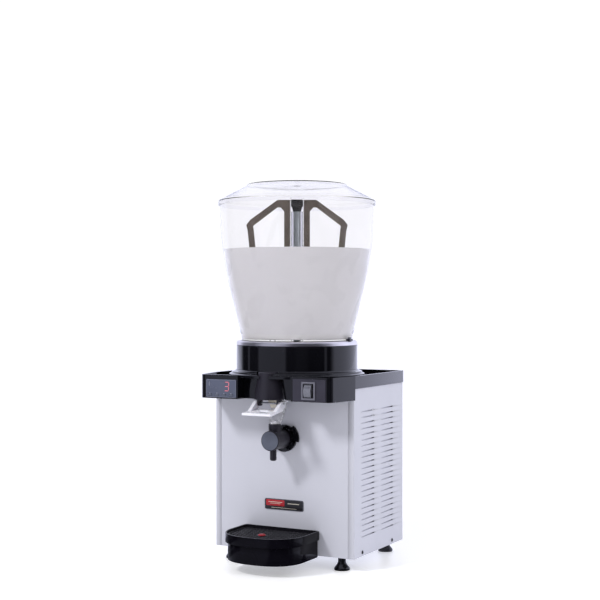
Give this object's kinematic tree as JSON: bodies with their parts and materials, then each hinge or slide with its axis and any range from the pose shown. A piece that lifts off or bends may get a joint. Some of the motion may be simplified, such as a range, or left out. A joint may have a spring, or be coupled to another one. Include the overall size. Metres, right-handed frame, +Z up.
{
  "type": "chilled drink dispenser",
  "caption": "Countertop chilled drink dispenser: clear lidded bowl with a turning stirring frame, lever tap, foam pump, thermostat console and lift-out drip tray.",
  "frame": {"origin": "on the surface it stands on, at the centre of the overall footprint", "axes": "+Z up, -Y out of the front panel towards the user, +X to the right as the user faces the machine"},
  "size_m": [0.336, 0.388, 0.802],
  "materials": {
    "white_paint": "satin powder coat",
    "bare_steel": "galvanised",
    "satin_steel": "satin stainless",
    "copper": "drawn tube",
    "black_metal": "black enamel",
    "gloss_black": "polished moulding",
    "satin_black": "satin moulding",
    "dark_grey": "fine texture",
    "slate_grey": "fine texture",
    "display_grey": "tinted window",
    "bezel_grey": "silver moulding",
    "clear_plastic": "clear polycarbonate",
    "milky_plastic": "translucent white",
    "ivory_rubber": "silicone",
    "black_rubber": "moulded",
    "brown_plastic": "satin moulding",
    "red_plastic": "smooth"
  },
  "bodies": {
    "cabinet": {"base_pan": "bare_steel", "side_panel_left": "white_paint", "side_panel_right": "white_paint", "front_panel": "white_paint", "rear_panel": "white_paint", "mains_inlet": "satin_black", "badge_plate": "gloss_black", "side_screw_left_front": "black_metal", "side_screw_left_rear": "black_metal", "side_screw_right_front": "black_metal", "side_screw_right_rear": "black_metal", "compressor": "black_metal", "condenser": "bare_steel", "fan_motor": "black_metal", "gear_motor": "black_metal", "pump_motor": "black_metal", "console_top": "gloss_black", "thermostat_body": "satin_black", "display_window": "display_grey", "switch_plate": "dark_grey", "switch_bezel": "bezel_grey", "collar_drum": "gloss_black", "cooling_plate": "satin_steel", "evaporator_coil": "copper", "shaft_bush": "milky_plastic", "outlet_seal": "black_rubber", "latch_base": "satin_black", "tap_cover": "satin_black", "outlet_spout": "ivory_rubber", "tap_spring": "satin_steel", "lever_pin": "satin_steel", "feed_tube": "clear_plastic", "bayonet_flange": "gloss_black", "tray_holder": "satin_black"},
    "foot_fl": {"foot_front_left": "satin_black"},
    "foot_fr": {"foot_front_right": "satin_black"},
    "foot_rl": {"foot_rear_left": "satin_black"},
    "foot_rr": {"foot_rear_right": "satin_black"},
    "fan": {"fan_blade": "bare_steel"},
    "key_1": {"thermostat_key_1": "slate_grey"},
    "key_2": {"thermostat_key_2": "slate_grey"},
    "key_3": {"thermostat_key_3": "slate_grey"},
    "key_4": {"thermostat_key_4": "slate_grey"},
    "rocker": {"switch_rocker": "bezel_grey"},
    "bowl": {"bowl": "clear_plastic"},
    "lid": {"lid": "clear_plastic"},
    "stirrer": {"agitator_frame": "brown_plastic", "agitator_sleeve": "clear_plastic", "agitator_hub": "gloss_black"},
    "shaft": {"drive_shaft": "satin_steel"},
    "latch": {"latch_tab": "milky_plastic"},
    "lever": {"tap_lever": "milky_plastic"},
    "plunger": {"tap_plunger": "milky_plastic"},
    "pump": {"pump_body": "satin_black", "pump_cap": "slate_grey"},
    "impeller": {"pump_impeller": "milky_plastic"},
    "tray": {"drip_tray": "satin_black"},
    "grid": {"drip_grid": "satin_black"},
    "float": {"tray_float": "red_plastic"}
  },
  "joints": [
    {"name": "bowl_lift", "type": "slide", "parent": "cabinet", "child": "bowl", "axis": [0, 0, 1], "range_m": [0, 0.3]},
    {"name": "lid_lift", "type": "slide", "parent": "bowl", "child": "lid", "axis": [0, 0, 1], "range_m": [0, 0.12]},
    {"name": "stirrer_spin", "type": "hinge", "parent": "bowl", "child": "stirrer", "pos_m": [0, 0.006, 0.6], "axis": [0, 0, 1], "continuous": true},
    {"name": "shaft_spin", "type": "hinge", "parent": "cabinet", "child": "shaft", "pos_m": [0, 0.006, 0.45], "axis": [0, 0, 1], "continuous": true},
    {"name": "latch_turn", "type": "hinge", "parent": "cabinet", "child": "latch", "pos_m": [0.1246, 0.006, 0.475], "axis": [0, 0, 1], "range_deg": [0, 90]},
    {"name": "lever_push", "type": "hinge", "parent": "cabinet", "child": "lever", "pos_m": [0, -0.114, 0.343], "axis": [1, 0, 0], "range_deg": [0, 12], "stiffness_Nm_per_rad": 0.6, "springref_deg": -11.46},
    {"name": "plunger_lift", "type": "slide", "parent": "cabinet", "child": "plunger", "axis": [0, 0, 1], "range_m": [0, 0.0036], "deforming": ["tap_spring"]},
    {"name": "rocker_tilt", "type": "hinge", "parent": "cabinet", "child": "rocker", "pos_m": [0.1042, -0.136, 0.3733], "axis": [1, 0, 0], "range_deg": [0, 12]},
    {"name": "key_1_press", "type": "slide", "parent": "cabinet", "child": "key_1", "axis": [0, 1, 0], "range_m": [0, 0.0007], "stiffness_N_per_m": 800, "springref_m": -0.0003},
    {"name": "key_2_press", "type": "slide", "parent": "cabinet", "child": "key_2", "axis": [0, 1, 0], "range_m": [0, 0.0007], "stiffness_N_per_m": 800, "springref_m": -0.0003},
    {"name": "key_3_press", "type": "slide", "parent": "cabinet", "child": "key_3", "axis": [0, 1, 0], "range_m": [0, 0.0007], "stiffness_N_per_m": 800, "springref_m": -0.0003},
    {"name": "key_4_press", "type": "slide", "parent": "cabinet", "child": "key_4", "axis": [0, 1, 0], "range_m": [0, 0.0007], "stiffness_N_per_m": 800, "springref_m": -0.0003},
    {"name": "pump_pull", "type": "slide", "parent": "cabinet", "child": "pump", "axis": [0, -1, 0], "range_m": [0, 0.045]},
    {"name": "impeller_spin", "type": "hinge", "parent": "pump", "child": "impeller", "pos_m": [0.005, -0.09, 0.266], "axis": [0, 1, 0], "continuous": true},
    {"name": "fan_spin", "type": "hinge", "parent": "cabinet", "child": "fan", "pos_m": [0.107, 0.079, 0.121], "axis": [1, 0, 0], "continuous": true},
    {"name": "tray_lift", "type": "slide", "parent": "cabinet", "child": "tray", "axis": [0, 0, 1], "range_m": [0, 0.1]},
    {"name": "grid_lift", "type": "slide", "parent": "tray", "child": "grid", "axis": [0, 0, 1], "range_m": [0, 0.03]},
    {"name": "float_rise", "type": "slide", "parent": "tray", "child": "float", "axis": [0, 0, 1], "range_m": [0, 0.008]},
    {"name": "foot_fl_screw", "type": "hinge", "parent": "cabinet", "child": "foot_fl", "pos_m": [-0.13, -0.0405, 0.02], "axis": [0, 0, 1], "range_deg": [0, 1800]},
    {"name": "foot_fr_screw", "type": "hinge", "parent": "cabinet", "child": "foot_fr", "pos_m": [0.13, -0.0405, 0.02], "axis": [0, 0, 1], "range_deg": [0, 1800]},
    {"name": "foot_rl_screw", "type": "hinge", "parent": "cabinet", "child": "foot_rl", "pos_m": [-0.13, 0.1775, 0.02], "axis": [0, 0, 1], "range_deg": [0, 1800]},
    {"name": "foot_rr_screw", "type": "hinge", "parent": "cabinet", "child": "foot_rr", "pos_m": [0.13, 0.1775, 0.02], "axis": [0, 0, 1], "range_deg": [0, 1800]}
  ],
  "couplings": [
    {"joint": "shaft_spin", "follows": "stirrer_spin", "ratio": 1},
    {"joint": "plunger_lift", "follows": "lever_push", "m_per_rad": 0.0165}
  ]
}
